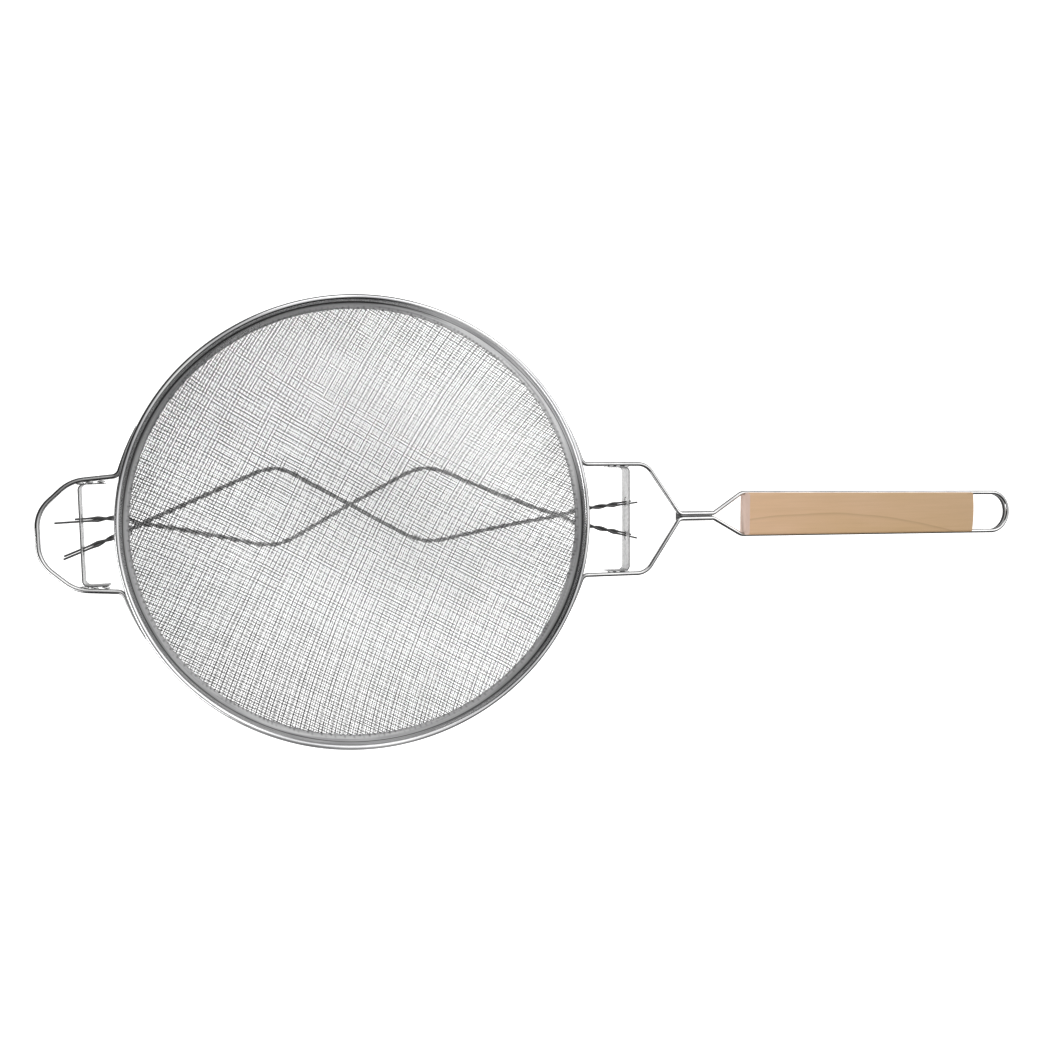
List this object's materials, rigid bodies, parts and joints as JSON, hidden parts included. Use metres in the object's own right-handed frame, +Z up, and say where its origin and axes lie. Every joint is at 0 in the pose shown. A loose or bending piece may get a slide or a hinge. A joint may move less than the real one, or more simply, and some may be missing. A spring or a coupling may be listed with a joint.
{
  "type": "sieve",
  "caption": "Round-bottomed double mesh kitchen sieve with a rolled steel rim, a wire rest loop opposite a wire yoke with a flat wooden grip, and twisted support wires under the bowl",
  "frame": {"origin": "centre of the rim, on the plane under the frame wires, where they sit on the edge of a pot", "axes": "+X along the handle, away from the bowl; +Y across the bowl; +Z up, out of the bowl"},
  "size_m": [0.7099, 0.296, 0.1072],
  "materials": {
    "hoop_steel": "rolled and polished stainless sheet",
    "core_steel": "drawn wire, hidden in the bead",
    "coarse_mesh": "woven bright wire",
    "fine_mesh": "woven bright wire",
    "frame_wire": "bright drawn wire",
    "bracket_steel": "pressed strip, satin",
    "support_wire": "drawn wire, twisted",
    "grip_wood": "pale sanded hardwood, bare"
  },
  "bodies": {
    "root": {"rim_hoop": "hoop_steel", "rim_core_wire": "core_steel", "outer_mesh": "coarse_mesh", "inner_mesh": "fine_mesh", "rest_loop": "frame_wire", "rest_bracket": "bracket_steel", "handle_wire": "frame_wire", "yoke_bracket": "bracket_steel", "neck_plate": "bracket_steel", "hang_loop_liner": "bracket_steel", "grip": "grip_wood", "support_a_strand_1": "support_wire", "support_a_strand_2": "support_wire", "support_b_strand_1": "support_wire", "support_b_strand_2": "support_wire"}
  },
  "joints": []
}
